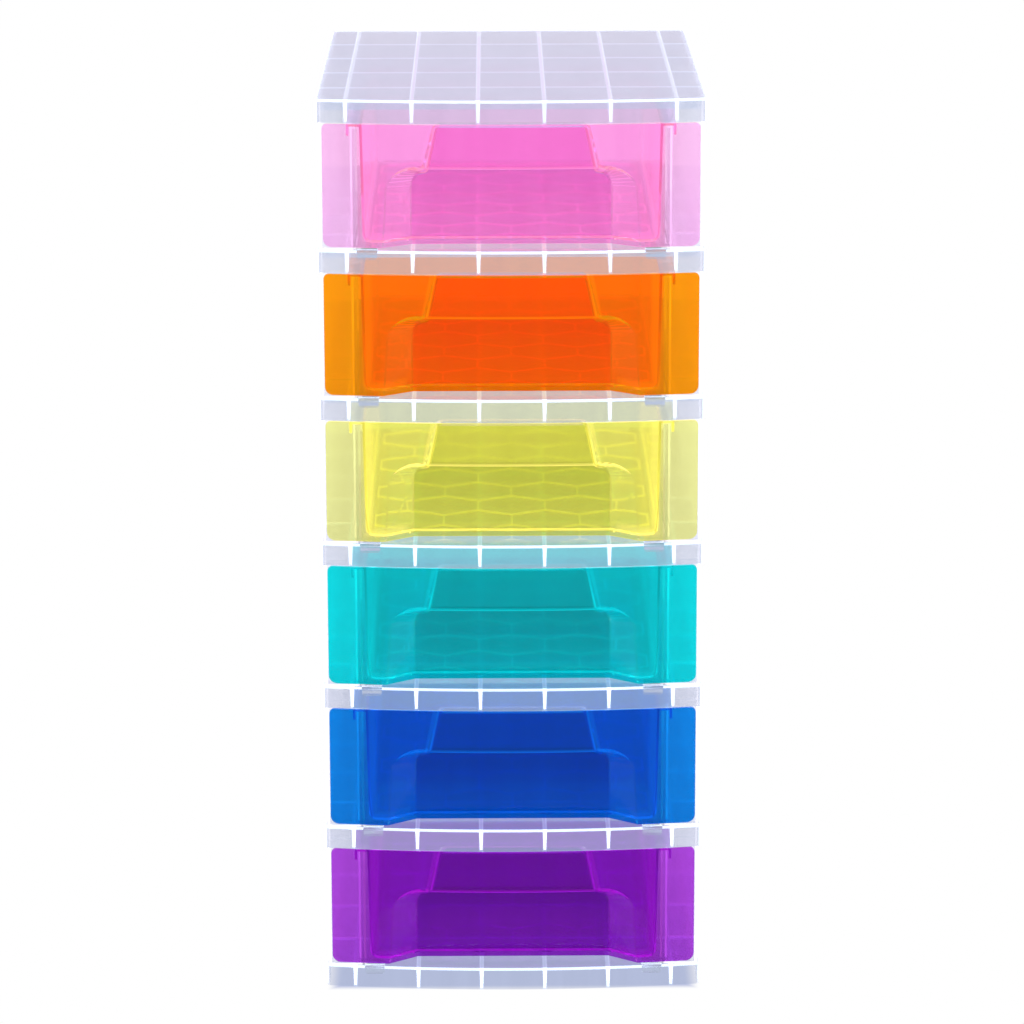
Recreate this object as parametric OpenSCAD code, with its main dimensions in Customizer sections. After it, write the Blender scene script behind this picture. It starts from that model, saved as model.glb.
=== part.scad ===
// Six-storey tower of translucent drawers.
// Clear ribbed shelves, bowed at the front, are held apart by clear side panels
// with drawer rails and by plain back panels. Each tinted drawer hangs by its rim
// from the rails and has a grip pocket moulded into its bowed front.
// Millimetres. +Z is up and the front faces -Y. The origin is at the middle of
// the footprint, on the surface that the tower stands on.

/* [Tower] */
// Overall width across the shelves
tower_w = 300; // [280:1:340]
// Overall depth, from the foremost point of the front to the back
tower_d = 395; // [360:1:440]
// Height from the top of one shelf to the top of the next
storey_pitch = 117; // [108:1:150]
// How far the middle of the front stands ahead of its corners
front_bow = 12; // [8:0.5:16]
// Radius of the front corners of a shelf
front_corner_r = 4; // [3:0.5:6]
// Radius of the back corners of a shelf
back_corner_r = 6; // [4:0.5:10]
// Radius along the upper edge of a shelf
edge_r = 1.2; // [0.4:0.1:1.6]

/* [Shelf] */
// Height of a shelf over its skirt
shelf_h = 18; // [16:0.5:24]
// Thickness of the shelf plate
plate_t = 2.2; // [1.8:0.1:3]
// Thickness of the skirt
skirt_t = 1.6; // [1.2:0.1:2.4]
// Rib thickness where it joins the plate
rib_root_t = 3.2; // [2.4:0.1:4]
// Rib thickness at its free edge
rib_edge_t = 2.0; // [1.2:0.1:2.4]
// Distance between neighbouring ribs that run front to back
rib_pitch = 50.8; // [40:0.1:52]
// Distance from the front corners to the first cross rib
cross_rib_start = 58; // [50:1:70]
// Distance between neighbouring cross ribs
cross_rib_pitch = 80; // [70:1:84]

/* [Side panel] */
// Thickness of the outer skin of a side panel
skin_t = 2.0; // [1.6:0.1:2.6]
// Thickness of the foot that stands on the shelf below
foot_t = 1.6; // [1.2:0.1:1.8]
// Overall width of a rail
rail_w = 5.4; // [4.6:0.1:6.4]
// Thickness of the walls of a rail
rail_wall = 1.6; // [1.2:0.1:1.9]
// Thickness of the webs between rail and skin
web_t = 1.8; // [1.2:0.1:2.6]
// Width of a locking tab
tab_w = 15.5; // [12:0.5:18]
// How far a locking tab reaches below the shelf plate
tab_reach = 5.5; // [4.5:0.5:9]
// Thickness of a locking tab
tab_t = 2.4; // [1.6:0.1:3]
// How far the catch of a locking tab stands out
catch_d = 1.0; // [0.6:0.1:1.4]

/* [Back panel] */
// Thickness of a back panel
back_t = 2.0; // [1.6:0.1:2.6]
// Height of the stiffening ribs on the inside of a back panel
back_rib_h = 1.6; // [1:0.1:2.4]

/* [Drawer] */
// Width of the tub across its outside at the rim
tub_w = 233; // [225:1:235]
// How far each tub wall leans in from rim to floor
tub_draft = 2.0; // [1:0.1:4]
// Thickness of the tub walls and floor
tub_wall = 2.0; // [1.6:0.1:2.6]
// Space behind the tub's rim, in front of the back panel
tub_back_gap = 10; // [8:0.5:20]
// Radius of the tub's back corners
tub_corner_r = 14; // [8:0.5:20]
// Radius along the lower edges of the tub
tub_floor_r = 6; // [4:0.5:8]
// Width of a honeycomb cell under the floor, from flat to flat
cell_w = 54; // [36:1:60]
// Thickness of the honeycomb ribs
cell_rib_t = 1.6; // [1.2:0.1:2.4]
// Height of the honeycomb ribs
cell_rib_h = 1.2; // [0.8:0.1:1.6]
// Thickness of the bowed front
face_t = 2.5; // [2:0.1:3]
// How far the drawer front sits behind the edge of the shelves
face_inset = 1.5; // [1:0.1:3]
// Height of the tub floor over the lower edge of the front
floor_rise = 4; // [3:0.5:6]
// Radius of the upper corners of the front
face_top_r = 4; // [2:0.5:8]
// Radius of the lower corners of the front
face_bottom_r = 6.5; // [4:0.5:10]
// Height of the turned-down edge of the rim
rim_drop = 9; // [6:0.5:12]
// Thickness of the rim
rim_t = 2.0; // [1.6:0.1:2.6]

/* [Grip pocket] */
// Height of the lip that the fingers hook behind
lip_h = 34; // [28:0.5:40]
// Depth of the pocket at the bottom, from the front surface
pocket_depth = 22.5; // [18:0.5:28]
// Depth of the pocket at the top, from the front surface
pocket_top_depth = 14; // [12:0.5:20]
// Width of the pocket's mouth at the bottom
mouth_w = 198; // [170:1:206]
// Width of the pocket's back wall at the bottom
pocket_back_w = 154; // [130:1:160]
// Width of the lip at its upper end
lip_w = 117; // [100:1:124]
// How much wider the lip is at its lower end, on each side
lip_taper = 7; // [3:0.5:8]
// Height of the mouth's rounded shoulders
shoulder_h = 18; // [14:0.5:20]

/* [Clearances] */
// Air gap between a panel and the shelves that it stands under and on
seat_gap = 0.1; // [0.05:0.05:0.2]
// Gap between a shelf skirt and the panel edges inside it
panel_fit = 0.3; // [0.2:0.05:0.6]
// Gap between a drawer front and the side panels
face_side_gap = 0.6; // [0.4:0.1:1.2]
// Gap between a drawer front and the skirt above it
face_top_gap = 1.2; // [1:0.1:2]
// Gap between a drawer front and the shelf below it
face_bottom_gap = 2.0; // [1.9:0.1:3]
// Gap between the drawer rim and its rail, beside, above and below
rail_fit = 0.3; // [0.2:0.05:0.5]
// Gap around a locking tab in its slot
tab_fit = 0.3; // [0.2:0.05:0.5]

/* [Hidden] */
STOREYS = 6;
DRAWERS = ["pink_drawer", "orange_drawer", "yellow_drawer", "aqua_drawer", "blue_drawer", "purple_drawer"];
TINTS = ["hotpink", "darkorange", "gold", "darkturquoise", "dodgerblue", "darkviolet"];
CLEAR = "azure";

// Small overlap that fuses the pieces of one moulding
fuse = 0.2;
// Far enough to cut right through anything in the tower
far = 2 * (tower_w + tower_d);
// Segments of half the front arc, of a corner and of a pocket shoulder
bow_steps = 24;
corner_steps = 6;
shoulder_steps = 8;
small_steps = 2;

// Footprint
half_w = tower_w / 2;
front_y = -tower_d / 2;
back_y = tower_d / 2;
bow_r = (half_w * half_w + front_bow * front_bow) / (2 * front_bow);
bow_cy = front_y + bow_r;
corner_y = front_y + front_bow;
smallest_r = 0.3;

// How far the ribs of a shelf end above the lower edge of its skirt
rib_lift = 0.8;

// Side and back panels, whose upper edges stand in the groove inside the skirt
panel_h = storey_pitch - plate_t - 2 * seat_gap;
skin_out = half_w - skirt_t - panel_fit;
skin_in = skin_out - skin_t;
groove_in = skin_in - panel_fit;
back_out = back_y - skirt_t - panel_fit;
back_in = back_out - back_t - back_rib_h;
side_back = back_in - panel_fit;
side_front = corner_y + front_corner_r + panel_fit;
skin_setback = 0.8;
web_drop = 2;
back_rib_w = 2;
back_rib_end = 4;

// Drawer heights, measured from the top of the shelf below it
face_low = face_bottom_gap;
face_high = storey_pitch - shelf_h - face_top_gap;
face_h = face_high - face_low;
face_half_w = skin_in - face_side_gap;
face_r = bow_r - face_inset;
floor_low = face_low + floor_rise;
rim_low = face_high - rim_t;

// Rail and rim, with a stop nib on each
wall_gap = 2.1;
rail_in = tub_w / 2 + wall_gap;
rail_out = rail_in + rail_w;
nib_h = 1.2;
nib_l = 9;
nib_setback = 20;
rail_top = rim_low - nib_h - rail_fit - seat_gap;
rail_front = corner_y + 10;
rail_nib_setback = 3;
rim_out = rail_out + 2 * rail_fit + rim_t;
tub_back = back_in - tub_back_gap;
rim_back = tub_back + tub_back_gap / 2;
drawer_nib_front = tub_back - nib_setback;

// Grip pocket: how much narrower its mouth is over its foot, how far it draws in and
// its shoulders fall towards its back, and the radius of its small corners
mouth_taper = 3;
pocket_draw = 2;
shoulder_fall = 6;
pocket_r = 3;

// Locking tabs: one at the front and one at the back of a side panel, two on a back panel
foot_w = 15;
foot_in = rail_in - foot_w;
tab_x = foot_in + tab_w / 2;
tab_setback = 3.4;
tab_corner_r = 2;
catch_h = 4;
catch_nose = [0.6, 1.6];
front_tab_y = front_y + front_bow * pow(tab_x / half_w, 2) + skirt_t + tab_setback;
side_tab_y = side_back - tab_t / 2 - catch_d - tab_setback;
rear_tab_x = rib_pitch;
rear_tab_y = back_out - back_t - panel_fit - tab_t / 2;

// Where the six ribs of a shelf run, and its cross ribs
rib_x = [for (i = [-2.5:1:2.5]) i * rib_pitch];
cross_rib_y = [for (i = [0:3]) corner_y + cross_rib_start + i * cross_rib_pitch];

// Top of the shelf below storey s, where storey 1 is the uppermost
function level(s) = shelf_h + storey_pitch * (STOREYS - s);

// Points of an arc about c, from angle a0 to a1, in n steps
function arc(c, r, a0, a1, n) =
    [for (i = [0:n]) let (a = a0 + (a1 - a0) * i / n) [c[0] + r * cos(a), c[1] + r * sin(a)]];

// An outline from its right half, which runs from one end of the middle line to the other
function mirrored(half) = concat(half, [for (i = [len(half) - 1:-1:0]) [-half[i][0], half[i][1]]]);

// Outline of the tower seen from above, drawn in by inset all round
function footprint(inset) =
    let (
        fr = front_corner_r,
        br = back_corner_r,
        fx = half_w - fr,
        fy = bow_cy - sqrt(pow(bow_r - fr, 2) - fx * fx),
        turn = atan2(fy - bow_cy, fx),
        first = -90 + (turn + 90) / (2 * bow_steps + 1),
        bx = half_w - br,
        by = back_y - br,
        f = max(fr - inset, smallest_r),
        b = max(br - inset, smallest_r)
    )
    mirrored(concat(
        arc([0, bow_cy], bow_r - inset, first, turn, bow_steps),
        arc([fx, fy], f, turn * (1 - 1 / corner_steps), 0, corner_steps - 1),
        arc([bx, by], b, 0, 90, corner_steps)
    ));

// A solid through a stack of mirrored outlines that all have the same number of points.
// Each outline is a list of 3D points, anticlockwise seen from the last outline.
module loft(sections) {
    n = len(sections[0]);
    m = len(sections);
    top = (m - 1) * n;
    low = [for (i = [0:n / 2 - 2]) [i, i + 1, n - 2 - i, n - 1 - i]];
    high = [for (f = low) [top + f[3], top + f[2], top + f[1], top + f[0]]];
    walls = [
        for (j = [0:m - 2]) for (i = [0:n - 1])
            let (k = (i + 1) % n, a = j * n)
            each [[a + n + k, a + k, a + i], [a + n + i, a + n + k, a + i]]
    ];
    polyhedron(points = [for (s = sections) for (p = s) p], faces = concat(low, high, walls));
}

// The points of an outline at height z
function at_height(outline, z) = [for (p = outline) [p[0], p[1], z]];

// ---------------------------------------------------------------- shelves

// A rib hanging from the plate, thinner at its free edge, along +Y from y0 to y1
module rib(x, y0, y1) {
    deep = shelf_h - plate_t - rib_lift;
    translate([x, y1, shelf_h - plate_t + fuse])
        rotate([90, 0, 0])
            linear_extrude(y1 - y0)
                polygon([
                    [-rib_root_t / 2, 0], [-rib_edge_t / 2, -deep],
                    [rib_edge_t / 2, -deep], [rib_root_t / 2, 0]
                ]);
}

// The grid of ribs, kept clear of the groove along the sides and the back
module rib_grid() {
    intersection() {
        union() {
            for (x = rib_x) rib(x, front_y, back_in - panel_fit);
            for (y = cross_rib_y) rotate([0, 0, -90]) rib(-y, -groove_in, groove_in);
        }
        linear_extrude(far) polygon(footprint(skirt_t - fuse));
    }
}

// The plate, rounded along its upper edge
module plate() {
    loft(concat(
        [at_height(footprint(0), shelf_h - plate_t)],
        [for (a = [0:22.5:90])
            at_height(footprint(edge_r * (1 - cos(a))), shelf_h - edge_r * (1 - sin(a)))]
    ));
}

// Slot for a locking tab whose catch points along catch_side, cut through the plate
module tab_slot(x, y, catch_side) {
    reach = tab_t + catch_d + 2 * tab_fit;
    middle = y + catch_side * catch_d / 2;
    translate([x, middle, shelf_h - plate_t / 2])
        cube([tab_w + 2 * tab_fit, reach, plate_t + 2 * fuse], center = true);
}

module shelf(slotted) {
    color(CLEAR, 0.5) difference() {
        union() {
            plate();
            linear_extrude(shelf_h - plate_t + fuse) difference() {
                polygon(footprint(0));
                polygon(footprint(skirt_t));
            }
            rib_grid();
        }
        if (slotted) {
            for (side = [-1, 1]) {
                tab_slot(side * tab_x, front_tab_y, 1);
                tab_slot(side * tab_x, side_tab_y, -1);
                tab_slot(side * rear_tab_x, rear_tab_y, -1);
            }
        }
    }
}

// ----------------------------------------------------------- side panels

// A tab that reaches down through a slot, with its catch towards +Y
module tab_shape() {
    face_y = tab_t / 2;
    catch_z = -plate_t - tab_fit - seat_gap;
    low = -plate_t - tab_reach;
    half = tab_w / 2;
    r = tab_corner_r;
    intersection() {
        rotate([90, 0, 90]) linear_extrude(tab_w, center = true) polygon([
            [-face_y, fuse], [-face_y, low], [face_y, low], [face_y, catch_z - catch_h],
            [face_y + catch_d, catch_z - catch_nose[1]], [face_y + catch_d, catch_z - catch_nose[0]],
            [face_y, catch_z], [face_y, fuse]
        ]);
        rotate([90, 0, 0]) linear_extrude(far, center = true) polygon(concat(
            [[-half, fuse]],
            arc([-half + r, low + r], r, 180, 270, corner_steps),
            arc([half - r, low + r], r, 270, 360, corner_steps),
            [[half, fuse]]
        ));
    }
}

module locking_tab(x, y, catch_side) {
    translate([x, y, 0]) mirror([0, catch_side > 0 ? 0 : 1, 0]) tab_shape();
}

// The rail is a narrow channel, open to the front, that the drawer rim runs over
module rail() {
    rail_l = side_back - rail_front;
    translate([rail_in, rail_front, 0]) difference() {
        cube([rail_w, rail_l, rail_top]);
        translate([rail_wall, -fuse, foot_t])
            cube([rail_w - 2 * rail_wall, rail_l - rail_wall, rail_top - foot_t - rail_wall]);
    }
    translate([rail_in, rail_front + rail_nib_setback, rail_top - fuse])
        cube([rail_w, nib_l, nib_h + fuse]);
}

// The right-hand side panel of one storey, standing on z = 0
module side_panel_body() {
    below_skirt = storey_pitch - shelf_h - seat_gap - panel_fit;
    skin_front = corner_y + skin_setback;
    foot_front = front_tab_y - tab_t / 2;
    web_l = skin_in - rail_out + 2 * fuse;
    web_h = face_high - rim_drop - web_drop;
    color(CLEAR, 0.5) union() {
        translate([skin_in, skin_front, 0]) cube([skin_t, side_back - skin_front, below_skirt]);
        translate([skin_in, side_front, 0]) cube([skin_t, side_back - side_front, panel_h]);
        translate([foot_in, foot_front, 0]) cube([skin_in + fuse - foot_in, side_back - foot_front, foot_t]);
        rail();
        for (y = cross_rib_y) translate([rail_out - fuse, y, 0]) cube([web_l, web_t, web_h]);
        translate([rail_out - fuse, side_back - web_t, 0]) cube([web_l, web_t, face_high]);
        locking_tab(tab_x, front_tab_y, 1);
        locking_tab(tab_x, side_tab_y, -1);
    }
}

module side_panel(s, side) {
    translate([0, 0, level(s) + seat_gap]) {
        if (side < 0) mirror([1, 0, 0]) side_panel_body();
        else side_panel_body();
    }
}

// ------------------------------------------------------------ back panels

module back_panel(s) {
    half = half_w - back_corner_r - panel_fit;
    foot_front = rear_tab_y - tab_t / 2;
    color(CLEAR, 0.5) translate([0, 0, level(s) + seat_gap]) union() {
        translate([-half, back_out - back_t, 0]) cube([2 * half, back_t, panel_h]);
        for (x = rib_x)
            translate([x - back_rib_w / 2, back_in, back_rib_end])
                cube([back_rib_w, back_rib_h + fuse, face_high - 2 * back_rib_end]);
        for (side = [-1, 1]) {
            translate([side * rear_tab_x - tab_w / 2, foot_front, 0])
                cube([tab_w, back_out - back_t + fuse - foot_front, foot_t]);
            locking_tab(side * rear_tab_x, rear_tab_y, -1);
        }
    }
}

// ---------------------------------------------------------------- drawers

// Everything behind the front surface of a drawer, set back by inset
module behind_face(inset) {
    translate([0, bow_cy, -far / 2]) cylinder(r = face_r - inset, h = far, $fn = 360);
}

// The outline of the drawer front, seen from the front
function face_outline() = concat(
    arc([face_half_w - face_bottom_r, face_low + face_bottom_r], face_bottom_r, -90, 0, corner_steps),
    arc([face_half_w - face_top_r, face_high - face_top_r], face_top_r, 0, 90, corner_steps),
    arc([-face_half_w + face_top_r, face_high - face_top_r], face_top_r, 90, 180, corner_steps),
    arc([-face_half_w + face_bottom_r, face_low + face_bottom_r], face_bottom_r, 180, 270, corner_steps)
);

module face() {
    intersection() {
        difference() {
            behind_face(0);
            behind_face(face_t);
        }
        rotate([90, 0, 0]) linear_extrude(far) polygon(face_outline());
    }
}

// One level outline of the tub at height z, drawn in by inset
function tub_section(z, inset) =
    let (
        lean = tub_draft * (face_high - z) / (face_high - floor_low),
        x = tub_w / 2 - lean - inset,
        y = tub_back - lean - inset,
        r = max(tub_corner_r - inset, smallest_r)
    )
    at_height(mirrored(concat([[x, front_y]], arc([x - r, y - r], r, 0, 90, corner_steps))), z);

// The tub as a solid, drawn in by wall on every side
module tub(wall) {
    low = floor_low + wall;
    r = tub_floor_r - wall;
    loft(concat(
        [for (a = [0:30:90]) tub_section(low + r * (1 - cos(a)), wall + r * (1 - sin(a)))],
        [tub_section(face_high + (wall > 0 ? fuse : 0), wall)]
    ));
}

// Honeycomb of ribs that stiffens the floor from below
module honeycomb() {
    row = cell_w * cos(30);
    columns = ceil(tub_w / 2 / cell_w);
    rows = ceil(tub_back / row);
    translate([0, 0, floor_low - cell_rib_h]) linear_extrude(cell_rib_h + fuse) difference() {
        polygon([for (p = tub_section(floor_low, tub_floor_r)) [p[0], p[1]]]);
        for (j = [-rows:rows]) for (i = [-columns:columns])
            translate([(i + (j % 2 == 0 ? 0 : 0.5)) * cell_w, j * row])
                rotate(30) circle(d = (cell_w - cell_rib_t) / cos(30), $fn = 6);
    }
}

// The right half of the pocket's outline, from its foot up to its ceiling. foot, hip,
// neck and top are half widths. The shoulder is rise high and ends at hip_z.
function pocket_half(foot, hip, neck, top, hip_z, top_z, rise, low_z) =
    let (r = pocket_r, run = hip - neck - r)
    concat(
        [[foot, low_z]],
        [for (i = [0:shoulder_steps])
            let (a = 90 * i / shoulder_steps)
            [hip - run * (1 - cos(a)), hip_z - rise * (1 - sin(a))]],
        arc([neck + r, hip_z + r], r, 240, 180, small_steps),
        arc([top - r, top_z - r], r, 0, 90, small_steps)
    );

// The pocket as a solid, grown by wall on every side but its open foot
module pocket(wall) {
    lip_z = face_high - lip_h + wall;
    ceiling = face_high - rim_t + wall;
    low_z = wall > 0 ? face_low : face_low - fuse;
    top = lip_w / 2 + wall;
    neck = top + lip_taper;
    foot = mouth_w / 2 + wall;
    back_foot = pocket_back_w / 2 + wall;
    mouth = mirrored(pocket_half(
        foot, foot - mouth_taper, neck, top, lip_z, ceiling, shoulder_h + wall, low_z
    ));
    rear = mirrored(pocket_half(
        back_foot, back_foot, neck - pocket_draw, top - pocket_draw,
        lip_z - shoulder_fall, ceiling, shoulder_h - shoulder_fall + wall, low_z
    ));
    // The mouth outline lies where the bow is half spent, and is carried on ahead of
    // the front along the same slopes
    face_y = front_y + face_inset;
    mouth_y = face_y + front_bow / 2;
    lean = (pocket_depth - pocket_top_depth) / face_h;
    back_at = function(z) face_y + pocket_top_depth + (face_high - z) * lean + wall;
    loft([
        [for (p = rear) [p[0], back_at(p[1]), p[1]]],
        [for (p = mouth) [p[0], mouth_y, p[1]]],
        [for (i = [0:len(mouth) - 1])
            let (m = mouth[i], r = rear[i], t = front_bow / 2 / (back_at(r[1]) - mouth_y))
            [m[0] + (m[0] - r[0]) * t, face_y, m[1]]]
    ]);
}

// The rim: a flat flange round the sides and back, turned down along the sides
module rim() {
    r = tub_corner_r;
    difference() {
        intersection() {
            union() {
                translate([0, 0, rim_low]) linear_extrude(rim_t) polygon(concat(
                    [[-rim_out, front_y], [rim_out, front_y]],
                    arc([rim_out - r, rim_back - r], r, 0, 90, corner_steps),
                    arc([-rim_out + r, rim_back - r], r, 90, 180, corner_steps)
                ));
                for (side = [-1, 1])
                    translate([side > 0 ? rim_out - rim_t : -rim_out, front_y, face_high - rim_drop])
                        cube([rim_t, rim_back - r - front_y, rim_drop]);
            }
            behind_face(fuse);
        }
        intersection() {
            tub(tub_wall);
            behind_face(face_t);
        }
    }
    for (side = [-1, 1])
        translate([side > 0 ? rail_in : -rail_out, drawer_nib_front, rim_low - nib_h])
            cube([rail_w, nib_l, nib_h + fuse]);
}

module drawer_body() {
    difference() {
        union() {
            face();
            difference() {
                intersection() {
                    tub(0);
                    behind_face(fuse);
                }
                intersection() {
                    tub(tub_wall);
                    behind_face(face_t);
                }
            }
            intersection() {
                honeycomb();
                behind_face(fuse);
            }
            intersection() {
                pocket(tub_wall);
                behind_face(fuse);
                translate([-far / 2, -far / 2, face_low]) cube([far, far, face_h]);
            }
            rim();
        }
        intersection() {
            pocket(0);
            union() {
                behind_face(face_t);
                translate([-far / 2, -far / 2, -far]) cube([far, far, far + face_high - lip_h]);
            }
        }
    }
}

module drawer(s) {
    color(TINTS[s - 1], 0.8) translate([0, 0, level(s)]) drawer_body();
}

// --------------------------------------------------------------- assembly

translate([0, 0, level(0) - shelf_h]) shelf(false);  // top_panel
for (s = [1:STOREYS - 1])
    translate([0, 0, level(s) - shelf_h]) shelf(true);
shelf(true);  // base_panel
for (s = [1:STOREYS]) {
    side_panel(s, -1);
    side_panel(s, 1);
    back_panel(s);
    drawer(s);
}
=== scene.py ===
"""Looks of the six-storey drawer tower: milky clear shelves and panels, tinted drawers.

The camera stands where the photograph was taken from, over a white floor.
"""

import math

import bpy
from mathutils import Matrix, Vector

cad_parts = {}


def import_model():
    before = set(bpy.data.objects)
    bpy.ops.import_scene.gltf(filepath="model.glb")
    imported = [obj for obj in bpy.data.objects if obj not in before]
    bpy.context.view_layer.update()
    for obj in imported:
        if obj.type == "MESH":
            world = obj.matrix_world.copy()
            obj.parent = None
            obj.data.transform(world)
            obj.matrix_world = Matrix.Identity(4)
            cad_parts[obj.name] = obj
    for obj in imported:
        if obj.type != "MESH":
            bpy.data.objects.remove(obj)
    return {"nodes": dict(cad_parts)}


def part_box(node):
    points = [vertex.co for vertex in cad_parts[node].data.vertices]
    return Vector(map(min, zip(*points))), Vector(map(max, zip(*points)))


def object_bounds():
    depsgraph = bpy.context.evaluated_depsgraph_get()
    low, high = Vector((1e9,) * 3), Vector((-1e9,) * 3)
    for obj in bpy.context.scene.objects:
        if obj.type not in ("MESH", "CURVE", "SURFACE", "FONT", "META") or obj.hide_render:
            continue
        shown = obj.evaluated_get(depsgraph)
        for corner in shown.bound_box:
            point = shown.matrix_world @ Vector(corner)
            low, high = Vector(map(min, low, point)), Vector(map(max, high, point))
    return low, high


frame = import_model()
cad_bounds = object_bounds()

# ------------------------------------------------------------------ measures
# Metres, with X across, Y to the back and Z up, in the CAD model's frame

# The photograph is square, so the sensor's width covers its height too
SENSOR = 0.036
CAMERA_DISTANCE = 3.2       # from the foremost point of the front
CAMERA_HEIGHT = 1.211
CAMERA_PITCH = math.radians(14.28)
CAMERA_SIDE = -0.0161
CAMERA_YAW = math.radians(-0.286)
CAMERA_ROLL = math.radians(-0.143)
FOCAL_PIXELS = 4226.0
PHOTO_PIXELS = 1024

# A shelf, and the rails between two shelves
RIB_PITCH = 0.0508          # of the long ribs, the first half a pitch off the middle
RIB_HALF = 0.0016
CROSS_RIB_FIRST = -0.1275
CROSS_RIB_PITCH = 0.08
CROSS_RIB_HALF = 0.0035
SKIRT_SIDE = 0.146          # X of the skirt's sides
RAIL_OUT = 0.1225           # X of the rails' outer sides

# A drawer, with heights from the top of the shelf below it
FACE_LOW = 0.002            # lower edge of its face
FLOOR_LOW = 0.0058          # underside of its tub, over the honeycomb
GRIP_HALF_W = 0.077         # rear wall of the grip pocket
GRIP_TOP = 0.063
GRIP_CORNER = 0.012
GRIP_BEHIND = -0.165        # Y that the grip pocket lies in front of
LIP_LOW = 0.0645            # lower edge of the lip over the pocket
LIP_HALF_W = 0.0655
LIP_SLOPE = 0.206           # how far its sides lean inward as they rise
LIP_BEHIND = -0.188
LIP_LINE = 0.0009           # half the width of the painted highlight line along its sides,
LIP_LOW_LINE = 0.0011       # and along its lower edge
LIP_FILLET = 0.0045         # width of the rounding outside its sides
TUB_HALF_W = 0.1155         # where the tub's sides leave the face
TUB_FILLET = 0.007          # width of the rounding there
FACE_BEHIND = -0.178        # Y that the face lies in front of

# ------------------------------------------------------------------- colours
# Linear red, green and blue: what a wall lets through, and a painted glow, emission that
# stands in for the light that its milkiness scatters out of each face

DRAWERS = {
    "pink_drawer": ((0.86, 0.515, 0.82), (0.082, 0.036, 0.042)),
    "orange_drawer": ((0.93, 0.285, 0.002), (0.061, 0.043, 0.0)),
    "yellow_drawer": ((0.66, 0.73, 0.285), (0.136, 0.100, 0.034)),
    "aqua_drawer": ((0.002, 0.66, 0.65), (0.0, 0.061, 0.070)),
    "blue_drawer": ((0.002, 0.215, 0.64), (0.0, 0.025, 0.077)),
    "purple_drawer": ((0.39, 0.070, 0.62), (0.048, 0.001, 0.059)),
}
SHELF = ((0.52, 0.495, 0.515), (0.090, 0.112, 0.144))
PANEL = ((0.83, 0.83, 0.82), (0.078, 0.078, 0.090))

# The tint at its darkest is this power of itself, and these are shares of that look:
# 0 is the plain tint. Streaks are random tone; the grip pocket, lip, roundings and rails get
# painted shade. The grip pocket's rear wall goes from its foot's share to 1 at its top
DARKEST_POWER = 2.2
STREAK_DENSITY = 0.12
GRIP_FOOT_SHADE = 0.45
LIP_SHADE = 0.45
FILLET_SHADE = 0.35
RAIL_SHADE = 0.5

# Factors on the painted glow: above 1 a painted highlight on ribs, edges and faces turned to the
# front, below 1 painted shade on the rails
HONEYCOMB_GAIN = 3.5
LIP_EDGE_GAIN = 2.3
FILLET_GAIN = 2.0
SHELF_RIB_GAIN = 1.6
SKIRT_GAIN = 1.3
RAIL_GAIN = 0.4

# The share of a drawer's tint that grows with the path inside its walls, which are
# this thick, instead of being taken once at each face
ABSORBED = 0.012
WALL = 0.0025

# The moulded surface: noise scales in cells per metre, depths in metres
IOR = 1.49
ROUGHNESS = (0.03, 0.056)
ROUGHNESS_SCALE = 48.0
STREAK_SCALE = 70.0
STREAK_STRETCH = 9.0        # streaks run up and down, along the plastic's flow
SWELL_SCALE = 16.0
GRAIN_SCALE = 620.0
GRAIN_DEPTH = 0.000002
DRAWER_GLOSS, CLEAR_GLOSS = 0.15, 0.3
DRAWER_SWELL, PANEL_SWELL, SHELF_SWELL = 0.0001, 0.00002, 0.00001

# The studio: its floor, its wall from the horizon up, and its lamp
WHITE = (1.0, 1.0, 1.0)
FLOOR_SIZE = 16.0
FLOOR_UNDER = (0.47, 0.51, 0.74)    # painted shadow: the light left on the floor under the tower
FLOOR_FADE = 0.012                  # width over which that shade fades to white
# Height of the view, 0 level and 1 straight up, and the light that comes from there
SKY = ((0.0, WHITE), (0.1, (0.68, 0.58, 0.68)), (0.45, (0.72, 0.66, 0.74)), (0.9, WHITE))
KEY_PLACE = (-1.2, -1.6, 2.2)
KEY_TARGET = (0.0, 0.0, 0.4)
KEY_SIZE = 1.5
KEY_WATTS = 25


# ----------------------------------------------------------------- materials

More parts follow.
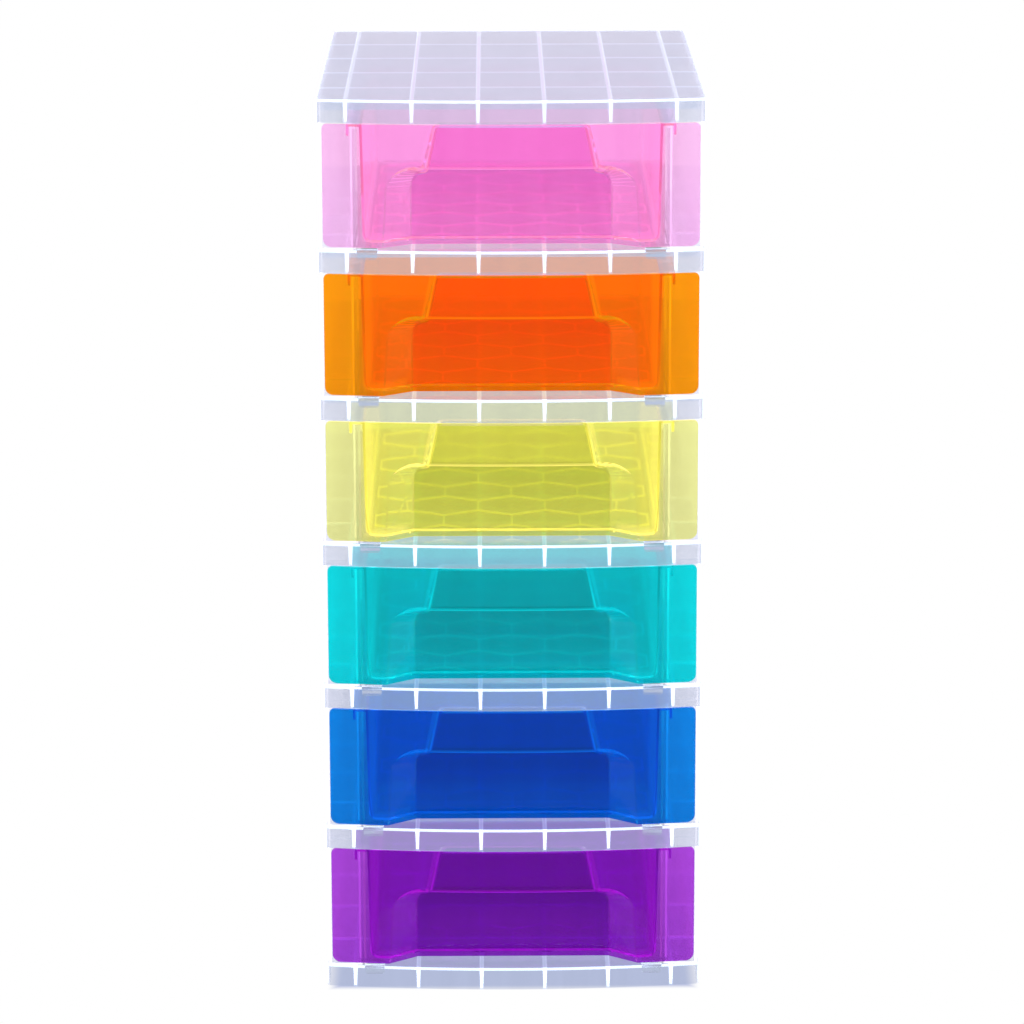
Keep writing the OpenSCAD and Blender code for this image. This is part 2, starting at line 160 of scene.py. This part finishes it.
class Graph:
    """Short calls for building one material's nodes."""

    def __init__(self, name):
        self.material = bpy.data.materials.new(name)
        self.material.use_nodes = True
        # Light leaves by paths through the plastic, so nothing is gained by aiming at it
        self.material.cycles.emission_sampling = "NONE"
        self.tree = self.material.node_tree
        self.tree.nodes.clear()

    def node(self, kind, inputs=None, **settings):
        made = self.tree.nodes.new(kind)
        for key, value in settings.items():
            setattr(made, key, value)
        for key, value in (inputs or {}).items():
            if isinstance(value, bpy.types.NodeSocket):
                self.tree.links.new(value, made.inputs[key])
            else:
                made.inputs[key].default_value = value
        return made

    def math(self, operation, *terms):
        return self.node("ShaderNodeMath", dict(enumerate(terms)), operation=operation).outputs[0]

    def product(self, first, *others):
        for other in others:
            first = self.math("MULTIPLY", first, other)
        return first

    def largest(self, first, *others):
        for other in others:
            first = self.math("MAXIMUM", first, other)
        return first

    def ramp(self, value, start, end, low=0.0, high=1.0, kind="LINEAR"):
        """Takes start to low and end to high, and holds both beyond."""
        inputs = {"Value": value, "From Min": start, "From Max": end, "To Min": low, "To Max": high}
        return self.node("ShaderNodeMapRange", inputs, interpolation_type=kind).outputs[0]

    def below(self, value, edge, soft):
        """1 where the value is below the edge, and 0 above it."""
        return self.ramp(value, edge - soft, edge + soft, 1.0, 0.0, "SMOOTHSTEP")

    def above(self, value, edge, soft):
        """1 where the value is above the edge, and 0 below it."""
        return self.ramp(value, edge - soft, edge + soft, kind="SMOOTHSTEP")

    def near(self, value, middle, half, soft):
        """1 where the value is within half of the middle."""
        off = self.math("ABSOLUTE", self.math("SUBTRACT", value, middle))
        return self.below(off, half, soft)

    def gained(self, masks):
        """A factor of 1 that becomes each mask's gain where that mask is 1."""
        total = 1.0
        for mask, gain in masks:
            total = self.math("ADD", self.product(mask, gain - 1), total)
        return total

    def scaled(self, colour, factor):
        """A colour times a number, or times a factor that varies over the surface."""
        if isinstance(factor, bpy.types.NodeSocket):
            inputs = {0: colour, "Scale": factor}
            return self.node("ShaderNodeVectorMath", inputs, operation="SCALE").outputs[0]
        return (*(c * factor for c in colour), 1)

    def mix(self, mask, plain, marked):
        """Blends two colours by a mask, 0 to 1."""
        inputs = {0: mask, 6: (*plain, 1), 7: (*marked, 1)}
        return self.node("ShaderNodeMix", inputs, data_type="RGBA").outputs[2]

    def parts(self, vector):
        """X, Y and Z of a vector."""
        return self.node("ShaderNodeSeparateXYZ", {0: vector}).outputs

    def place(self):
        """The point on the surface, in metres: a piece keeps its marks as it slides."""
        return self.node("ShaderNodeTexCoord").outputs["Object"]

    def axes(self):
        """X, Y and Z of the point, and how far it is from the tower's middle plane."""
        x, y, z = self.parts(self.place())
        return x, y, z, self.math("ABSOLUTE", x)

    def noise(self, scale, detail, stretch=1.0):
        """Noise, with spots drawn out upward where stretch is above 1."""
        inputs = {"Vector": self.place(), "Scale": (1.0, 1.0, 1.0 / stretch)}
        place = self.node("ShaderNodeMapping", inputs).outputs[0]
        inputs = {"Vector": place, "Scale": scale, "Detail": detail, "Roughness": 0.55}
        return self.node("ShaderNodeTexNoise", inputs).outputs["Fac"]


# Where each piece gets painted shade, a darker tint, or a painted highlight, a brighter
# glow. A drawer's level is the height of the top of the shelf below it

def rib_roots(g):
    """Where a shelf's ribs join its plate and the plastic is thickest, which get a brighter glow: a
    painted highlight.
    """
    x, y, _, _ = g.axes()
    off_long = g.math("PINGPONG", g.math("ADD", x, RIB_PITCH / 2), RIB_PITCH / 2)
    off_cross = g.math("PINGPONG", g.math("SUBTRACT", y, CROSS_RIB_FIRST), CROSS_RIB_PITCH / 2)
    long_ribs = g.below(off_long, RIB_HALF, soft=0.0008)
    cross_ribs = g.below(off_cross, CROSS_RIB_HALF, soft=0.0015)
    return g.largest(long_ribs, cross_ribs)


def skirt(g):
    """A shelf's skirt, and its cross ribs, which also face the front: a brighter glow there is a
    painted highlight.
    """
    normal = g.node("ShaderNodeNewGeometry").outputs["True Normal"]
    facing = g.math("ABSOLUTE", g.parts(normal)[1])
    wide = g.axes()[3]
    return g.largest(g.ramp(facing, 0.5, 0.9), g.above(wide, SKIRT_SIDE, soft=0.001))


def grip_wall(g, level):
    """The rear wall of the grip pocket, with rounded upper corners, fading to its foot: painted
    shade in the pocket, darkest at its top.
    """
    _, y, z, wide = g.axes()
    past_x = g.largest(g.math("SUBTRACT", wide, GRIP_HALF_W - GRIP_CORNER), 0.0)
    past_z = g.largest(g.math("SUBTRACT", z, level + GRIP_TOP - GRIP_CORNER), 0.0)
    past = g.math("SQRT", g.math("ADD", g.product(past_x, past_x), g.product(past_z, past_z)))
    return g.product(
        g.below(past, GRIP_CORNER, soft=0.0008),
        g.below(y, GRIP_BEHIND, soft=0.001),
        g.ramp(z, level, level + GRIP_TOP, GRIP_FOOT_SHADE),
    )


def lip_parts(g, level):
    """The lip over the grip pocket, which gets painted shade, its edges, which get a painted
    highlight line, and the rounding outside its sides.
    """
    _, y, z, wide = g.axes()
    up = g.math("SUBTRACT", z, level + LIP_LOW)
    reach = g.math("ADD", wide, g.product(up, LIP_SLOPE))
    front = g.below(y, LIP_BEHIND, soft=0.001)
    above = g.product(g.above(up, 0.0, soft=0.0008), front)
    wall = g.product(g.below(reach, LIP_HALF_W, soft=0.0008), above)
    sides = g.product(g.near(reach, LIP_HALF_W, LIP_LINE, soft=0.0005), above)
    low = g.near(up, 0.0, LIP_LOW_LINE, soft=0.0004)
    low = g.product(low, g.below(reach, LIP_HALF_W, soft=0.002), front)
    half = LIP_FILLET / 2
    fillet = g.product(g.near(reach, LIP_HALF_W + half, half, soft=0.001), above)
    return wall, g.largest(sides, low), fillet


def tub_fillet(g, level):
    """The rounding where the tub's sides and floor leave the face, painted as an edge line: a
    deeper tint and a brighter glow.
    """
    _, y, z, wide = g.axes()
    half = TUB_FILLET / 2
    foot = level + FLOOR_LOW
    sides = g.near(wide, TUB_HALF_W - half, half, soft=0.0025)
    sides = g.product(sides, g.above(z, foot, soft=0.002))
    low = g.near(z, foot + half, half, soft=0.0025)
    low = g.product(low, g.below(wide, TUB_HALF_W, soft=0.002))
    return g.product(g.largest(sides, low), g.below(y, FACE_BEHIND, soft=0.001))


def honeycomb(g, level):
    """The ribs under the tub's floor, whose brighter glow is a painted highlight."""
    _, y, z, _ = g.axes()
    under = g.below(z, level + FLOOR_LOW, soft=0.0002)
    return g.product(under, g.above(y, GRIP_BEHIND, soft=0.001))


def drawer_marks(g, level):
    lip, lip_edges, lip_fillet = lip_parts(g, level)
    fillets = g.largest(tub_fillet(g, level), lip_fillet)
    # Painted shade in the grip pocket, on the lip and along the roundings
    darkening = g.largest(
        grip_wall(g, level), g.product(lip, LIP_SHADE), g.product(fillets, FILLET_SHADE)
    )
    # Painted highlights: a brighter glow on the honeycomb, the lip's edges and the roundings
    gains = [
        (honeycomb(g, level), HONEYCOMB_GAIN), (lip_edges, LIP_EDGE_GAIN), (fillets, FILLET_GAIN)
    ]
    return darkening, g.gained(gains)


def shelf_marks(g):
    return 0.0, g.gained([(rib_roots(g), SHELF_RIB_GAIN), (skirt(g), SKIRT_GAIN)])


def side_panel_marks(g):
    # The rails get painted shade: a deeper tint and a dimmer glow
    rails = g.below(g.axes()[3], RAIL_OUT, soft=0.0005)
    return g.product(rails, RAIL_SHADE), g.gained([(rails, RAIL_GAIN)])


def no_marks(g):
    return 0.0, 1.0


def moulded(g, swell):
    """Slow swells of a moulded wall, this deep, under a fine grain."""
    inputs = {"Strength": 1.0, "Distance": swell, "Height": g.noise(SWELL_SCALE, 2.0)}
    slow = g.node("ShaderNodeBump", inputs).outputs[0]
    inputs = {"Strength": 1.0, "Distance": GRAIN_DEPTH, "Height": g.noise(GRAIN_SCALE, 2.0)}
    return g.node("ShaderNodeBump", {**inputs, "Normal": slow}).outputs[0]


def plastic(name, colours, marks, gloss, swell, absorbed=0.0):
    """Milky moulded plastic: smooth, see-through walls, with a painted glow for the little light
    that they scatter.

    marks gives its painted shade, as a darker tint 0 to 1, and the factor on its painted glow.
    gloss scales its reflections, and absorbed is the share of its tint that grows with the path
    inside.
    """
    g = Graph(name)
    tint, glow = colours
    on_faces = [t ** (1 - absorbed) for t in tint]
    darkest_tint = [t**DARKEST_POWER for t in on_faces]
    hue = [c / max(glow) for c in glow]
    darkening, gain = marks(g)
    streaks = g.noise(STREAK_SCALE, 3.0, STREAK_STRETCH)
    darkening = g.math("ADD", darkening, g.ramp(streaks, 0.35, 0.65, 0.0, STREAK_DENSITY))
    shader = g.node(
        "ShaderNodeBsdfPrincipled",
        {
            "Base Color": g.mix(darkening, on_faces, darkest_tint),
            "Roughness": g.ramp(g.noise(ROUGHNESS_SCALE, 5.0, 3.0), 0.3, 0.7, *ROUGHNESS),
            "IOR": IOR,
            "Transmission Weight": 1.0,
            "Specular Tint": (gloss, gloss, gloss, 1),
            "Emission Color": g.scaled(hue, gain),
            "Emission Strength": max(glow),
            "Normal": moulded(g, swell),
        },
    )
    out = g.node("ShaderNodeOutputMaterial", {"Surface": shader.outputs[0]})
    if absorbed > 0:
        losses = [-math.log(t) * absorbed / WALL for t in tint]
        kept = [1 - loss / max(losses) for loss in losses]
        inputs = {"Color": (*kept, 1), "Density": max(losses)}
        inside = g.node("ShaderNodeVolumeAbsorption", inputs).outputs[0]
        g.tree.links.new(inside, out.inputs["Volume"])
    return g.material


def drawer_plastic(node):
    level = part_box(node)[0][2] - FACE_LOW
    return plastic(
        node.replace("_drawer", "_plastic"),
        DRAWERS[node],
        lambda g: drawer_marks(g, level),
        DRAWER_GLOSS,
        DRAWER_SWELL,
        ABSORBED,
    )


def dress():
    """Gives each CAD node its plastic."""
    shelf = plastic("shelf_plastic", SHELF, shelf_marks, CLEAR_GLOSS, SHELF_SWELL)
    side = plastic("side_panel_plastic", PANEL, side_panel_marks, CLEAR_GLOSS, PANEL_SWELL)
    back = plastic("back_panel_plastic", PANEL, no_marks, CLEAR_GLOSS, PANEL_SWELL)
    for node, piece in frame["nodes"].items():
        if node in DRAWERS:
            material = drawer_plastic(node)
        elif "side_panel" in node:
            material = side
        elif "back_panel" in node:
            material = back
        else:
            material = shelf
        piece.data.materials.clear()
        piece.data.materials.append(material)


# --------------------------------------------------------------------- stage

def floor():
    """A white floor, with a painted shadow where the tower stands."""
    far = FLOOR_SIZE / 2
    mesh = bpy.data.meshes.new("floor")
    corners = [(-far, -far, 0), (far, -far, 0), (far, far, 0), (-far, far, 0)]
    mesh.from_pydata(corners, [], [(0, 1, 2, 3)])
    plane = bpy.data.objects.new("floor", mesh)
    bpy.context.collection.objects.link(plane)
    g = Graph("floor_white")
    _, y, _, wide = g.axes()
    low, high = (Vector(corner) for corner in cad_bounds)
    half = (high - low) / 2
    beside = g.ramp(wide, half.x - FLOOR_FADE, half.x, kind="SMOOTHSTEP")
    beyond = g.ramp(g.math("ABSOLUTE", y), half.y - FLOOR_FADE, half.y, kind="SMOOTHSTEP")
    shade = g.mix(g.largest(beside, beyond), FLOOR_UNDER, WHITE)
    glow = g.node("ShaderNodeEmission", {"Color": shade, "Strength": 1.0})
    g.node("ShaderNodeOutputMaterial", {"Surface": glow.outputs[0]})
    mesh.materials.append(g.material)


def key_light():
    lamp = bpy.data.lights.new("key", "AREA")
    lamp.size = KEY_SIZE
    lamp.energy = KEY_WATTS
    key = bpy.data.objects.new("key", lamp)
    key.location = KEY_PLACE
    aim = Vector(KEY_TARGET) - key.location
    key.rotation_euler = aim.to_track_quat("-Z", "Y").to_euler()
    bpy.context.collection.objects.link(key)


def world():
    """White below the horizon and overhead, with a grey-lilac wall between."""
    sky = bpy.data.worlds.new("studio")
    bpy.context.scene.world = sky
    sky.use_nodes = True
    # Its light comes in by paths through the plastic too
    sky.cycles.sampling_method = "NONE"
    nodes, links = sky.node_tree.nodes, sky.node_tree.links
    ramp = nodes.new("ShaderNodeValToRGB")
    split = nodes.new("ShaderNodeSeparateXYZ")
    view = nodes.new("ShaderNodeTexCoord").outputs["Generated"]
    links.new(view, split.inputs[0])
    links.new(split.outputs["Z"], ramp.inputs[0])
    links.new(ramp.outputs[0], nodes["Background"].inputs["Color"])
    steps = ramp.color_ramp.elements
    first, *middle, last = SKY
    for step, (height, colour) in zip(steps, (first, last)):
        step.position, step.color = height, (*colour, 1)
    for height, colour in middle:
        steps.new(height).color = (*colour, 1)


def camera():
    lens = bpy.data.cameras.new("camera")
    lens.sensor_width = SENSOR * 1000
    lens.lens = FOCAL_PIXELS / PHOTO_PIXELS * SENSOR * 1000
    lens.clip_end = 50
    eye = bpy.data.objects.new("camera", lens)
    place = Vector((CAMERA_SIDE, cad_bounds[0][1] - CAMERA_DISTANCE, CAMERA_HEIGHT))
    turn = (
        Matrix.Rotation(CAMERA_YAW, 4, "Z")
        @ Matrix.Rotation(math.pi / 2 - CAMERA_PITCH, 4, "X")
        @ Matrix.Rotation(CAMERA_ROLL, 4, "Z")
    )
    eye.matrix_world = Matrix.Translation(place) @ turn
    bpy.context.collection.objects.link(eye)
    bpy.context.scene.camera = eye


def light_paths():
    """Enough bounces for light to leave the walls that it runs along inside."""
    scene = bpy.context.scene
    scene.view_settings.view_transform = "Standard"
    scene.cycles.max_bounces = 32
    scene.cycles.transmission_bounces = 24
    scene.cycles.glossy_bounces = 12
    scene.cycles.transparent_max_bounces = 32


camera()
dress()
floor()
world()
key_light()
light_paths()
